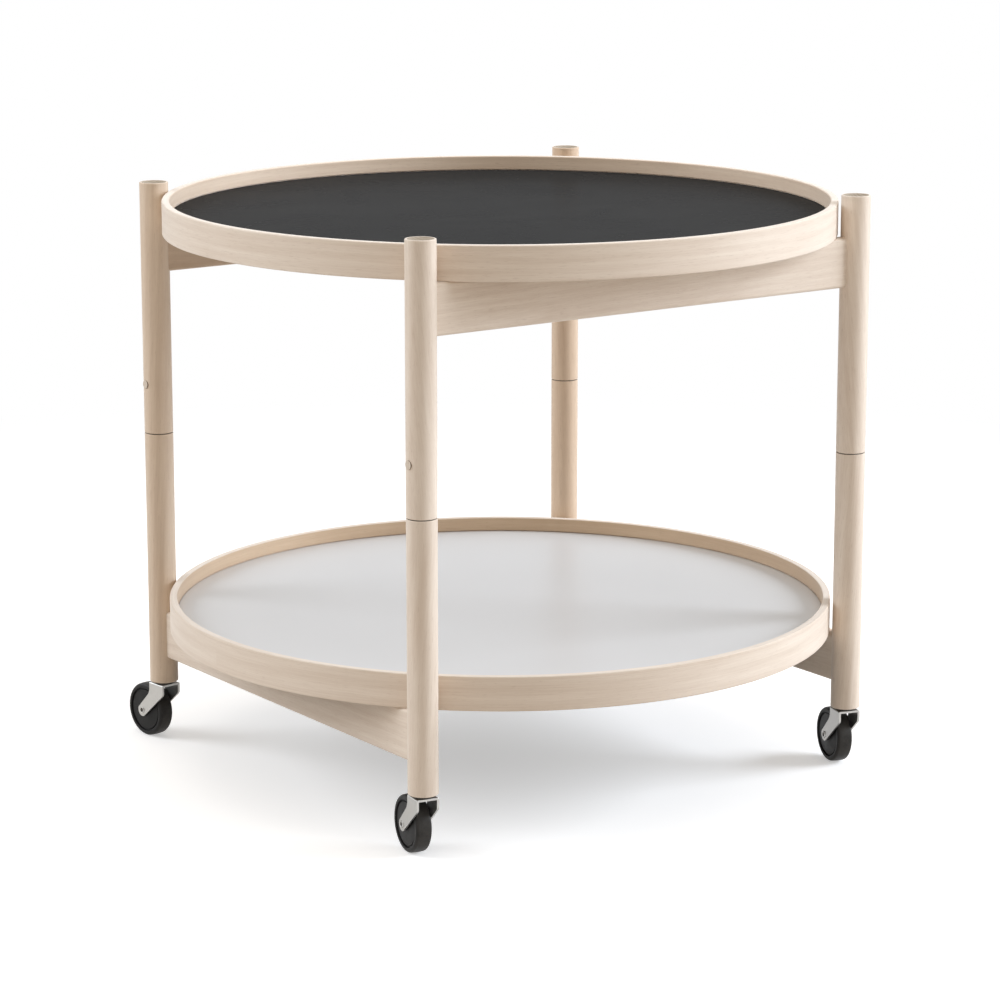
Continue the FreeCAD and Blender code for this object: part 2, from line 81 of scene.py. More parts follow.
def newMaterial(name):
    material = bpy.data.materials.new(name)
    material.use_nodes = True
    tree = material.node_tree
    tree.nodes.clear()
    shader = addNode(tree, "ShaderNodeBsdfPrincipled")
    addNode(tree, "ShaderNodeOutputMaterial", {"Surface": shader.outputs[0]})
    place = addNode(tree, "ShaderNodeTexCoord").outputs["Object"]
    return material, tree, shader, place


# Tray rims: a strip of beech with eased edges, bent round a circle. The groove that holds the bottom is cut a
# little wide, so a dark slit shows above and below the bottom (drawn 0.8 mm high so that it shows).
hoopSizes = {
    "outerRadius": 300.0, "height": 30.0, "thickness": 7.0, "edgeRadius": 1.2, "edgeSteps": 4, "steps": 288,
    "slit": 0.8, "slitDepth": 2.4,
    "paintedShadeReach": (0.1, 0.6),  # the painted shade on the inner face fades out between these depths
}

# Beech, planed and soaped white: pale, faintly pink, straight grain in soft bands, short darker flecks
# along the grain, a dull silky sheen. Real flecks are 0.3 mm wide and are drawn wider so that they show.
beechFinish = {
    "pale": "#ECDDCC",
    "band": "#D7C3AF",
    "fleckColour": "#B0967F",
    "slant": (0.04, 0.10),  # radians, times each stick's own lean
    "pith": (0.0, 58.0, 34.8),  # how far the middle of the tree lies off the stick
    "runOut": (0.0, 0.022, 0.0308),  # radians
    "ringSpacing": 7.0,
    "ringBend": 9.0,
    "ringStretch": 0.12,
    "ringShare": 0.13,
    "tone": {"length": 130.0, "width": 10.0, "detail": 4.0, "coarse": 0.6, "share": 0.75},
    "streak": {"length": 55.0, "width": 1.1, "detail": 3.0, "coarse": 0.6, "share": 0.58},
    "fleck": {"length": 8.0, "width": 0.7, "detail": 2.0, "coarse": 0.5, "share": 0.25},
    "fleckRange": (0.57, 0.76),  # the noise at which a fleck begins and is full
    "bandRange": (0.45, 1.07),  # the sum of the patterns that is all pale, and all band
    "roughness": (0.44, 0.58),
    "bump": 0.10,
    "bumpHeight": 0.15,
    "ior": 1.5,
    "shine": 0.45,
    "sheen": 0.32,
    "sheenRoughness": 0.5,
}


def beech(name, along, start, lean, tint=None):
    user = beechFinish
    material, tree, shader, place = newMaterial(name)
    parts = addNode(tree, "ShaderNodeSeparateXYZ", {0: place}).outputs
    if along == "hoop":  # the grain runs round the bent strip, and starts afresh at its joint
        radius = hoopSizes["outerRadius"] * mm
        turn = addNode(tree, "ShaderNodeMath", {0: parts[1], 1: parts[0]}, operation="ARCTAN2").outputs[0]
        arc = addNode(tree, "ShaderNodeMath", {0: turn, 1: radius}, operation="MULTIPLY").outputs[0]
        flat = addNode(tree, "ShaderNodeCombineXYZ", {0: parts[0], 1: parts[1]}).outputs[0]
        out = addNode(tree, "ShaderNodeVectorMath", {0: flat}, operation="LENGTH").outputs["Value"]
        order = (arc, out, parts[2])
    else:
        order = [parts[axis] for axis in {"x": (0, 1, 2), "y": (1, 0, 2), "z": (2, 0, 1)}[along]]
    stick = addNode(tree, "ShaderNodeCombineXYZ", dict(enumerate(order))).outputs[0]
    # the grain leans a little across the stick
    stick = addNode(tree, "ShaderNodeMapping", {
        "Vector": stick, "Location": start, "Rotation": (0, *(angle * lean for angle in user["slant"])),
    }).outputs[0]
    # growth rings round a pith that lies off the stick and runs slightly out of line with it
    tilt = addNode(tree, "ShaderNodeMapping", {
        "Vector": stick, "Location": [offset * mm for offset in user["pith"]], "Rotation": user["runOut"],
        "Scale": (user["ringStretch"], 1, 1),
    }).outputs[0]
    rings = addNode(tree, "ShaderNodeTexWave", {
        "Vector": tilt, "Scale": waveLength / (user["ringSpacing"] * mm), "Distortion": user["ringBend"],
        "Detail": 3.0, "Detail Scale": 0.16, "Detail Roughness": 0.55,
    }, wave_type="RINGS", rings_direction="X", wave_profile="SIN").outputs["Fac"]
    noise = {}
    for kind in ("tone", "streak", "fleck"):
        pattern = user[kind]
        scale = [1 / (pattern[size] * mm) for size in ("length", "width", "width")]
        drawn = addNode(tree, "ShaderNodeVectorMath", {0: stick, 1: scale}, operation="MULTIPLY").outputs[0]
        noise[kind] = addNode(tree, "ShaderNodeTexNoise", {
            "Vector": drawn, "Scale": 1.0, "Detail": pattern["detail"], "Roughness": pattern["coarse"],
        }).outputs[0]
    # bands: rings, fine streaks and slow changes of tone added up
    bands = addNode(tree, "ShaderNodeMath", {0: rings, 1: user["ringShare"]}, operation="MULTIPLY").outputs[0]
    mixed = bands
    for kind in ("streak", "tone"):
        mixed = addNode(tree, "ShaderNodeMath", {
            0: noise[kind], 1: user[kind]["share"], 2: mixed,
        }, operation="MULTIPLY_ADD").outputs[0]
    share = addNode(tree, "ShaderNodeMapRange", {
        "Value": mixed, "From Min": user["bandRange"][0], "From Max": user["bandRange"][1],
    }).outputs[0]
    flecks = addNode(tree, "ShaderNodeMapRange", {
        "Value": noise["fleck"], "From Min": user["fleckRange"][0], "From Max": user["fleckRange"][1],
        "To Min": 0.0, "To Max": user["fleck"]["share"],
    }, interpolation_type="SMOOTHSTEP").outputs[0]
    colour = addNode(tree, "ShaderNodeMix", {
        "Factor": share, mixFrom: hexColour(user["pale"]), mixTo: hexColour(user["band"]),
    }, data_type="RGBA").outputs[mixOut]
    colour = addNode(tree, "ShaderNodeMix", {
        "Factor": flecks, mixFrom: colour, mixTo: hexColour(user["fleckColour"]),
    }, data_type="RGBA").outputs[mixOut]
    if tint:  # painted shade: a darker tint on the sticks at the left and the back, and on the inner face of a strip, where shade falls
        amount = 1.0
        if along == "hoop":
            inner = hoopSizes["outerRadius"] - hoopSizes["thickness"]
            near, far = [(inner + depth) * mm for depth in hoopSizes["paintedShadeReach"]]
            amount = addNode(tree, "ShaderNodeMapRange", {
                "Value": out, "From Min": near, "From Max": far, "To Min": 1.0, "To Max": 0.0,
            }).outputs[0]
        colour = addNode(tree, "ShaderNodeMix", {
            "Factor": amount, mixFrom: colour, mixTo: hexColour(tint),
        }, data_type="RGBA", blend_type="MULTIPLY").outputs[mixOut]
    dull = addNode(tree, "ShaderNodeMapRange", {
        "Value": mixed, "To Min": user["roughness"][0], "To Max": user["roughness"][1],
    }).outputs[0]
    lift = addNode(tree, "ShaderNodeMath", {0: noise["fleck"], 1: bands}, operation="ADD").outputs[0]
    relief = addNode(tree, "ShaderNodeBump", {
        "Height": lift, "Strength": user["bump"], "Distance": user["bumpHeight"] * mm,
    }).outputs[0]
    setInputs(tree, shader, {
        "Base Color": colour, "Roughness": dull, "Normal": relief, "IOR": user["ior"],
        "Specular IOR Level": user["shine"], "Sheen Weight": user["sheen"],
        "Sheen Roughness": user["sheenRoughness"],
    })
    return material


# Beech end grain, turned and sanded: browner than the sides, close rings and open pores, no sheen.
endGrainFinish = {
    "dish": {"pale": "#B4A797", "ring": "#A19381", "pore": "#86735F"},
    "peg": {"pale": "#DDD0C0", "ring": "#D0C0AE", "pore": "#AE967F"},
    # the colour for a peg's side wall and edge is painted shade
    "shadedEdge": "#6E5847", "ringSpacing": 2.4, "ringCentre": (0.31, 0.27, 0.0), "ringStretch": 0.2,
    "poreSize": 0.5, "poreRange": (0.56, 0.7), "poreShare": 0.5, "bump": 0.12, "bumpHeight": 0.1,
    "roughness": 0.62, "shine": 0.25,
}


def beechEnd(name, kind):
    user = {**endGrainFinish, **endGrainFinish[kind]}
    material, tree, shader, place = newMaterial(name)
    off = addNode(tree, "ShaderNodeMapping", {
        "Vector": place, "Location": user["ringCentre"], "Scale": (1, 1, user["ringStretch"]),
    }).outputs[0]
    rings = addNode(tree, "ShaderNodeTexWave", {
        "Vector": off, "Scale": waveLength / (user["ringSpacing"] * mm), "Distortion": 2.0, "Detail": 2.0,
        "Detail Scale": 0.4,
    }, wave_type="RINGS", rings_direction="Z", wave_profile="SIN").outputs["Fac"]
    pores = addNode(tree, "ShaderNodeTexNoise", {
        "Vector": place, "Scale": 1 / (user["poreSize"] * mm), "Detail": 1.0,
    }).outputs[0]
    openPores = addNode(tree, "ShaderNodeMapRange", {
        "Value": pores, "From Min": user["poreRange"][0], "From Max": user["poreRange"][1],
        "To Min": 0.0, "To Max": user["poreShare"],
    }).outputs[0]
    colour = addNode(tree, "ShaderNodeMix", {
        "Factor": rings, mixFrom: hexColour(user["pale"]), mixTo: hexColour(user["ring"]),
    }, data_type="RGBA").outputs[mixOut]
    # painted shade: the side wall and edge of a peg are darker than its face, where shade falls beside the proud
    # peg
    dustAndShade = addNode(tree, "ShaderNodeAttribute", attribute_name="dustAndShade").outputs["Fac"]
    for amount, shade in ((openPores, "pore"), (dustAndShade, "shadedEdge")):
        colour = addNode(tree, "ShaderNodeMix", {
            "Factor": amount, mixFrom: colour, mixTo: hexColour(user[shade]),
        }, data_type="RGBA").outputs[mixOut]
    relief = addNode(tree, "ShaderNodeBump", {
        "Height": pores, "Strength": user["bump"], "Distance": user["bumpHeight"] * mm,
    }).outputs[0]
    setInputs(tree, shader, {
        "Base Color": colour, "Normal": relief, "Roughness": user["roughness"],
        "Specular IOR Level": user["shine"],
    })
    return material


# High-pressure laminate: an even colour under a thin melamine film, pressed against a finely textured plate,
# so it reflects softly and shows faint wiping marks at a low angle.
laminateFinish = {
    "black": {
        "dark": "#2A2A2A", "light": "#2D2D2D", "roughness": (0.24, 0.29), "shine": 0.0009, "bump": 0.015,
    },
    "white": {
        "dark": "#D2D0CE", "light": "#D6D4D2", "roughness": (0.34, 0.40), "shine": 0.40, "bump": 0.05,
    },
    "textureSize": 0.45, "markSize": 70.0, "bumpHeight": 0.05, "ior": 1.5,
}


def laminate(name, shade):
    user = {**laminateFinish, **laminateFinish[shade]}
    material, tree, shader, place = newMaterial(name)
    marks = addNode(tree, "ShaderNodeTexNoise", {
        "Vector": place, "Scale": 1 / (user["markSize"] * mm), "Detail": 5.0, "Roughness": 0.62,
        "Distortion": 0.6,
    }).outputs[0]
    grain = addNode(tree, "ShaderNodeTexNoise", {
        "Vector": place, "Scale": 1 / (user["textureSize"] * mm), "Detail": 2.0,
    }).outputs[0]
    colour = addNode(tree, "ShaderNodeMix", {
        "Factor": marks, mixFrom: hexColour(user["dark"]), mixTo: hexColour(user["light"]),
    }, data_type="RGBA").outputs[mixOut]
    dull = addNode(tree, "ShaderNodeMapRange", {
        "Value": marks, "From Min": 0.3, "From Max": 0.7,
        "To Min": user["roughness"][0], "To Max": user["roughness"][1],
    }).outputs[0]
    relief = addNode(tree, "ShaderNodeBump", {
        "Height": grain, "Strength": user["bump"], "Distance": user["bumpHeight"] * mm,
    }).outputs[0]
    setInputs(tree, shader, {
        "Base Color": colour, "Roughness": dull, "Normal": relief, "IOR": user["ior"],
        "Specular IOR Level": user["shine"],
    })
    return material


# Pressed and turned steel. Zinc plating is satin with a slight mottle; a turned pin is darker and finer, and this
# steel is darkened further as painted shade for the race in the gap under each leg and for the rivets' dimples.
steelFinish = {
    "zinc": {"dark": "#A8A6A2", "light": "#BEBCB8", "roughness": (0.32, 0.46), "mottle": 2.2},
    "turned": {"dark": "#46423E", "light": "#5A5651", "roughness": (0.30, 0.42), "mottle": 0.8},
    "bump": 0.05, "bumpHeight": 0.05,
}


def steel(name, kind):
    user = {**steelFinish, **steelFinish[kind]}
    material, tree, shader, place = newMaterial(name)
    mottle = addNode(tree, "ShaderNodeTexNoise", {
        "Vector": place, "Scale": 1 / (user["mottle"] * mm), "Detail": 4.0, "Roughness": 0.65,
    }).outputs[0]
    colour = addNode(tree, "ShaderNodeMix", {
        "Factor": mottle, mixFrom: hexColour(user["dark"]), mixTo: hexColour(user["light"]),
    }, data_type="RGBA").outputs[mixOut]
    dull = addNode(tree, "ShaderNodeMapRange", {
        "Value": mottle, "From Min": 0.3, "From Max": 0.7,
        "To Min": user["roughness"][0], "To Max": user["roughness"][1],
    }).outputs[0]
    relief = addNode(tree, "ShaderNodeBump", {
        "Height": mottle, "Strength": user["bump"], "Distance": user["bumpHeight"] * mm,
    }).outputs[0]
    setInputs(tree, shader, {"Base Color": colour, "Roughness": dull, "Normal": relief, "Metallic": 1.0})
    return material


# Moulded plastics: black nylon for the wheels, with a fine eroded mould texture and a dusty tread,
# acetal for the bushes, vulcanised fibre for the seam washers.
plasticFinish = {
    "nylon": {
        "dark": "#0F0E0D", "light": "#151413", "dust": "#514E4A",
        "roughness": (0.40, 0.52), "texture": 0.6, "shine": 0.18,
    },
    "acetal": {
        "dark": "#CFCBC0", "light": "#DAD6CC", "dust": "#A9A498",
        "roughness": (0.34, 0.44), "texture": 0.8, "shine": 0.5,
    },
    "fibre": {
        "dark": "#15110D", "light": "#221B15", "dust": "#3A3028",
        "roughness": (0.70, 0.85), "texture": 0.4, "shine": 0.2,
    },
    "patchSize": 9.0, "bump": 0.08, "bumpHeight": 0.06,
}


def plastic(name, kind):
    user = {**plasticFinish, **plasticFinish[kind]}
    material, tree, shader, place = newMaterial(name)
    grain = addNode(tree, "ShaderNodeTexNoise", {
        "Vector": place, "Scale": 1 / (user["texture"] * mm), "Detail": 3.0,
    }).outputs[0]
    patches = addNode(tree, "ShaderNodeTexNoise", {
        "Vector": place, "Scale": 1 / (user["patchSize"] * mm), "Detail": 4.0, "Roughness": 0.6,
    }).outputs[0]
    colour = addNode(tree, "ShaderNodeMix", {
        "Factor": patches, mixFrom: hexColour(user["dark"]), mixTo: hexColour(user["light"]),
    }, data_type="RGBA").outputs[mixOut]
    dustAndShade = addNode(tree, "ShaderNodeAttribute", attribute_name="dustAndShade").outputs["Fac"]
    dusty = addNode(tree, "ShaderNodeMath", {0: dustAndShade, 1: patches}, operation="MULTIPLY").outputs[0]
    colour = addNode(tree, "ShaderNodeMix", {
        "Factor": dusty, mixFrom: colour, mixTo: hexColour(user["dust"]),
    }, data_type="RGBA").outputs[mixOut]
    dull = addNode(tree, "ShaderNodeMapRange", {
        "Value": patches, "From Min": 0.3, "From Max": 0.7,
        "To Min": user["roughness"][0], "To Max": user["roughness"][1],
    }).outputs[0]
    relief = addNode(tree, "ShaderNodeBump", {
        "Height": grain, "Strength": user["bump"], "Distance": user["bumpHeight"] * mm,
    }).outputs[0]
    setInputs(tree, shader, {
        "Base Color": colour, "Roughness": dull, "Normal": relief, "Specular IOR Level": user["shine"],
    })
    return material


# Fibreboard core between the laminates: brown and felted, it shows nowhere but is a real layer.
fibreboardFinish = {"dark": "#7A5C3E", "light": "#957551", "feltSize": 0.9, "roughness": 0.85}


def fibreboard(name):
    user = fibreboardFinish
    material, tree, shader, place = newMaterial(name)
    felt = addNode(tree, "ShaderNodeTexNoise", {
        "Vector": place, "Scale": 1 / (user["feltSize"] * mm), "Detail": 5.0,
    }).outputs[0]
    colour = addNode(tree, "ShaderNodeMix", {
        "Factor": felt, mixFrom: hexColour(user["dark"]), mixTo: hexColour(user["light"]),
    }, data_type="RGBA").outputs[mixOut]
    setInputs(tree, shader, {"Base Color": colour, "Roughness": user["roughness"]})
    return material


# Each stick is cut from another place in the board; those at the left and the back carry painted shade, a darker
# tint where the trays and the other legs shade them.
stickCuts = {
    "beechUpperLegs": {"along": "z", "start": (0.13, 0.0, 0.0), "lean": 1.0},
    "beechLowerLegs": {"along": "z", "start": (0.71, 0.037, 0.011), "lean": -0.7},
    "beechLeftLegPaintedShade": {"along": "z", "start": (0.91, 0.011, 0.029), "lean": -0.5, "tint": "#F2EAE0"},
    "beechBackLegPaintedShade": {"along": "z", "start": (0.37, 0.021, 0.043), "lean": 0.6, "tint": "#EEE1D2"},
    "beechUpperRails": {"along": "x", "start": (0.29, 0.02, 0.05), "lean": 0.5},
    "beechBackRailPaintedShade": {"along": "x", "start": (0.57, 0.04, 0.01), "lean": -0.5, "tint": "#DED2C4"},
    "beechLowerRails": {"along": "y", "start": (0.43, 0.06, 0.02), "lean": -0.4},
    # the hoop tints are painted shade on the inner face of each rim, darker on the lower rim under the upper tray
    "beechUpperHoop": {"along": "hoop", "start": (0.0, 0.03, 0.01), "lean": 0.0, "tint": "#FFF6EC"},
    "beechLowerHoop": {"along": "hoop", "start": (0.4, 0.05, 0.03), "lean": 0.0, "tint": "#E0D1BD"},
}
stickWood = {name: beech(name, **cut) for name, cut in stickCuts.items()}
beechPegs = beechEnd("beechPegEnds", "peg")
beechDish = beechEnd("beechDish", "dish")
slotMaterial = {
    "beech": beechPegs,
    "black_laminate": laminate("blackLaminate", "black"),
    "white_laminate": laminate("whiteLaminate", "white"),
    "core_board": fibreboard("fibreboard"),
    "zinc_steel": steel("zincPlatedSteel", "zinc"),
    "pin_steel": steel("turnedSteelPaintedShade", "turned"),
    "washer_fibre": plastic("vulcanisedFibre", "fibre"),
    "black_nylon": plastic("mouldedNylon", "nylon"),
    "bush_acetal": plastic("mouldedAcetal", "acetal"),
}
nodeSlot = {part["node"]: part["material_slot"] for part in frame["record"]["subparts"]}
for nodeName, node in frame["nodes"].items():
    node.data.materials.clear()
    node.data.materials.append(slotMaterial[nodeSlot[nodeName]])
print("materials made:", len(bpy.data.materials))


def newObject(name, data):
    made = bpy.data.objects.new(name, data)
    scene.collection.objects.link(made)
    return made


def closedMesh(name, shape):
    bmesh.ops.remove_doubles(shape, verts=shape.verts, dist=0.001 * mm)
    bmesh.ops.recalc_face_normals(shape, faces=shape.faces)
    mesh = bpy.data.meshes.new(name)
    shape.to_mesh(mesh)
    shape.free()
    return mesh


def addPiece(name, mesh, materials, body, replaced, crease=34):
    for material in materials:
        mesh.materials.append(material)
    for face in mesh.polygons:
        face.use_smooth = True
    mesh.set_sharp_from_angle(angle=math.radians(crease))
    piece = newObject(name, mesh)
    weigh = piece.modifiers.new("evenShading", "WEIGHTED_NORMAL")
    weigh.keep_sharp = True
    weigh.weight = 90
    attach(piece, body)
    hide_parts(*replaced)
    return piece


def lathe(name, profile, place, segments=96, endFrom=(), dustAndShade=None):
    # profile holds (radius, height) in millimetres, from one end of the axis to the other,
    # and the faces that follow the points in endFrom get the second material
    shape = bmesh.new()
    # each point's value is dust on a wheel's tread and painted shade on a peg's side wall
    dustAndShadeLayer = shape.verts.layers.float.new("dustAndShade") if dustAndShade else None
    rings = []
    for index, (radius, height) in enumerate(profile):
        ring = []
        for step in range(segments if radius > 0 else 1):
            turn = math.tau * step / segments
            vert = shape.verts.new((radius * mm * math.cos(turn), radius * mm * math.sin(turn), height * mm))
            if dustAndShade:
                vert[dustAndShadeLayer] = dustAndShade[index]
            ring.append(vert)
        rings.append(ring)
    for index, (low, high) in enumerate(zip(rings, rings[1:])):
        for step in range(segments):
            after = (step + 1) % segments
            around = [low[step % len(low)], low[after % len(low)]]
            around += [high[after % len(high)], high[step % len(high)]]
            face = shape.faces.new(list(dict.fromkeys(around)))
            face.material_index = 1 if index in endFrom else 0
    mesh = closedMesh(name, shape)
    mesh.transform(place)
    return mesh


def arcPoints(centre, radius, first, last, count):
    points = []
    for step in range(count + 1):
        turn = math.radians(first + (last - first) * step / count)
        points.append((centre[0] + radius * math.cos(turn), centre[1] + radius * math.sin(turn)))
    return points


def newTree(name, inputs):
    tree = bpy.data.node_groups.new(name, "GeometryNodeTree")
    tree.interface.new_socket("Geometry", in_out="OUTPUT", socket_type="NodeSocketGeometry")
    for label, kind in inputs.items():
        tree.interface.new_socket(label, in_out="INPUT", socket_type="NodeSocket" + kind)
    return tree, addNode(tree, "NodeGroupInput").outputs


def endTree(tree, geometry, material):
    real = addNode(tree, "GeometryNodeRealizeInstances", {0: geometry}).outputs[0]
    painted = addNode(tree, "GeometryNodeSetMaterial", {"Geometry": real, "Material": material}).outputs[0]
    addNode(tree, "NodeGroupOutput", {0: painted})


def grownMesh(name, tree, values):
    seed = newObject(name + "Seed", bpy.data.meshes.new(name + "Seed"))
    grow = seed.modifiers.new("grow", "NODES")
    grow.node_group = tree
    for item in tree.interface.items_tree:
        if item.item_type == "SOCKET" and item.in_out == "INPUT":
            grow[item.identifier] = values[item.name]
    bpy.context.view_layer.update()
    made = bpy.data.meshes.new_from_object(seed.evaluated_get(bpy.context.evaluated_depsgraph_get()))
    seed.modifiers.remove(grow)
    bpy.data.objects.remove(seed)
    shape = bmesh.new()
    shape.from_mesh(made)
    bpy.data.meshes.remove(made)
    return closedMesh(name, shape)


def hoopSection(name, under, over):
    # under and over are the levels of the bottom's two faces above the strip's lower edge
    user = hoopSizes
    half, tall, edge, steps = user["thickness"] / 2, user["height"], user["edgeRadius"], user["edgeSteps"]
    slit, deep = user["slit"], user["slitDepth"]
    outline = arcPoints((half - edge, edge), edge, -90, 0, steps)
    outline += arcPoints((half - edge, tall - edge), edge, 0, 90, steps)
    outline += arcPoints((edge - half, tall - edge), edge, 90, 180, steps)
    for low, high in ((over, over + slit), (under - slit, under)):
        outline += [(-half, high), (deep - half, high), (deep - half, low), (-half, low)]
    outline += arcPoints((edge - half, edge), edge, 180, 270, steps)
    drawn = bpy.data.curves.new(name, "CURVE")
    drawn.dimensions = "3D"
    line = drawn.splines.new("POLY")
    line.points.add(len(outline) - 1)
    for point, (out, up) in zip(line.points, outline):
        point.co = (out * mm, -up * mm, 0, 1)  # the sweep turns this axis downwards
    line.use_cyclic_u = True
    return newObject(name, drawn)


def hoopTree():
    tree, given = newTree("bentHoop", {
        "Section": "Object", "Outer Radius": "Float", "Thickness": "Float", "Bottom": "Float", "Steps": "Int",
        "Material": "Material",
    })
    middle = addNode(tree, "ShaderNodeMath", {
        0: given["Thickness"], 1: -0.5, 2: given["Outer Radius"],
    }, operation="MULTIPLY_ADD").outputs[0]
    path = addNode(tree, "GeometryNodeCurvePrimitiveCircle", {"Resolution": given["Steps"], "Radius": middle})
    level = addNode(tree, "GeometryNodeSetCurveNormal", {"Curve": path.outputs[0]}, mode="Z_UP")
    section = addNode(tree, "GeometryNodeObjectInfo", {"Object": given["Section"]})
    strip = addNode(tree, "GeometryNodeCurveToMesh", {
        "Curve": level.outputs[0], "Profile Curve": section.outputs["Geometry"],
    })
    lift = addNode(tree, "ShaderNodeCombineXYZ", {2: given["Bottom"]})
    placed = addNode(tree, "GeometryNodeTransform", {
        "Geometry": strip.outputs[0], "Translation": lift.outputs[0],
    })
    endTree(tree, placed.outputs[0], given["Material"])
    return tree


hoop = hoopTree()
hoopWood = {"upper_tray": stickWood["beechUpperHoop"], "lower_tray": stickWood["beechLowerHoop"]}
for tray, wood in hoopWood.items():
    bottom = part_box(tray + "_rim")[0].z
    faces = [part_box(tray + "_" + side + "_laminate") for side in ("black", "white")]
    under, over = min(low.z for low, high in faces), max(high.z for low, high in faces)
    section = hoopSection(tray + "_section", (under - bottom) / mm, (over - bottom) / mm)
    mesh = grownMesh(tray + "_hoop", hoop, {
        "Section": section, "Outer Radius": hoopSizes["outerRadius"] * mm,
        "Thickness": hoopSizes["thickness"] * mm, "Bottom": bottom, "Steps": hoopSizes["steps"],
        "Material": wood,
    })
    bpy.data.objects.remove(section)
    addPiece(tray + "_hoop", mesh, [wood], tray, [tray + "_rim"])
print("tray rims bent")

# Legs: turned sticks in two halves, eased at the seam, with a shallow dish on top.
legSizes = {
    "radius": 13.0, "seamRadius": 0.45, "seamSteps": 3, "endRadius": 0.8, "endSteps": 6,
    "dishLip": 1.8, "dishDepth": 4.0, "dishEdge": 0.4, "dishEdgeSteps": 4, "dishSteps": 10, "dishReach": 0.95,
}


def legHalf(corner, half):
    user = legSizes
    name = half + "_leg_" + corner
    low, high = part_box(name)
    length = (high.z - low.z) / mm
    radius, seam, end = user["radius"], user["seamRadius"], user["endRadius"]
    if half == "upper":
        dish, deep, edge = radius - user["dishLip"], user["dishDepth"], user["dishEdge"]
        bowl = (dish**2 + deep**2) / (2 * deep)
        sweep = math.degrees(math.asin(dish / bowl))
        profile = [(0, 0)] + arcPoints((radius - seam, seam), seam, -90, 0, user["seamSteps"])
        profile += arcPoints((radius - end, length - end), end, 0, 90, user["endSteps"])
        # the bowl starts just inside the lip, so that the lip keeps a small round inner edge
        profile += arcPoints((dish + edge, length - edge), edge, 90, 90 + sweep, user["dishEdgeSteps"])
        first = len(profile) - 1
        reach = sweep * user["dishReach"]
        profile += arcPoints((0, length - deep + bowl), bowl, reach - 90, -90, user["dishSteps"])
        profile[-1] = (0, profile[-1][1])
        ends = {0, *range(first, len(profile))}  # the seam and the bowl show end grain
        wood = "beechUpperLegs"
    else:
        profile = [(0, 0)] + arcPoints((radius - end, end), end, -90, 0, user["endSteps"])
        profile += arcPoints((radius - seam, length - seam), seam, 0, 90, user["seamSteps"]) + [(0, length)]
        ends = {0, len(profile) - 2}
        wood = "beechLowerLegs"
    wood = {"back_left": "beechLeftLegPaintedShade", "back_right": "beechBackLegPaintedShade"}.get(corner, wood)
    spot = legPlace[corner]
    mesh = lathe(name + "_stick", profile, Matrix.Translation((spot.x, spot.y, low.z)), endFrom=ends)
    depth, hand = corner.split("_")
    body = "upper_frame_" + depth if half == "upper" else "lower_frame_" + hand
    addPiece(name + "_stick", mesh, [stickWood[wood], beechDish], body, [name], crease=40)


for corner in corners:
    legHalf(corner, "upper")
    legHalf(corner, "lower")
print("legs turned")

# Rails: planed bars with rounded long edges, coped to the legs at both ends.
railSizes = {"edgeRadius": 3.0, "cornerSteps": 6}


def railBar(name, run, body, wood):
    low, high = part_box(name)
    across = 1 if run == "x" else 0
    along = 1 - across
    wide, tall = (high[across] - low[across]) / mm, (high.z - low.z) / mm
    edge, steps = railSizes["edgeRadius"], railSizes["cornerSteps"]
    section = arcPoints((wide - edge, edge), edge, -90, 0, steps)
    section += arcPoints((wide - edge, tall - edge), edge, 0, 90, steps)
    section += arcPoints((edge, tall - edge), edge, 90, 180, steps)
    section += arcPoints((edge, edge), edge, 180, 270, steps)
    legs = [leg for leg in legPlace.values() if leg[across] * low[across] > 0]
    axis = max(legs, key=lambda leg: leg[along])
    shape = bmesh.new()
    ends = {1: [], -1: []}
    for side, row in ends.items():
        for outAt, upAt in section:
            place = Vector((0, 0, low.z + upAt * mm))
            place[across] = low[across] + outAt * mm
            # each point runs up to the round side of the leg
            reach = math.sqrt((legSizes["radius"] * mm) ** 2 - (place[across] - axis[across]) ** 2)
            place[along] = side * (axis[along] - reach)
            row.append(shape.verts.new(place))
    for step in range(len(section)):
        after = (step + 1) % len(section)
        shape.faces.new((ends[1][step], ends[1][after], ends[-1][after], ends[-1][step]))
    for row in ends.values():
        shape.faces.new(row)
    mesh = closedMesh(name + "_bar", shape)
    addPiece(name + "_bar", mesh, [stickWood[wood]], body, [name], crease=40)


railBar("upper_rail_front", "x", "upper_frame_front", "beechUpperRails")
railBar("upper_rail_back", "x", "upper_frame_back", "beechBackRailPaintedShade")
railBar("lower_rail_left", "y", "lower_frame_left", "beechLowerRails")
railBar("lower_rail_right", "y", "lower_frame_right", "beechLowerRails")
print("rails planed")

# Pegs that hold the pivot pins: flat end grain, a little proud of the leg, with painted shade on the side wall and
# edge.
pegSizes = {
    "radius": 4.0, "proud": 0.4, "inset": 5.0, "height": 337.5, "edge": 0.25, "edgeDrop": 0.3, "dome": 0.05,
    "dustAndShade": (1.0, 1.0, 1.0, 0.8, 0.2, 0.0, 0.0, 0.0),  # painted shade, from the inner end to the middle of the face
}


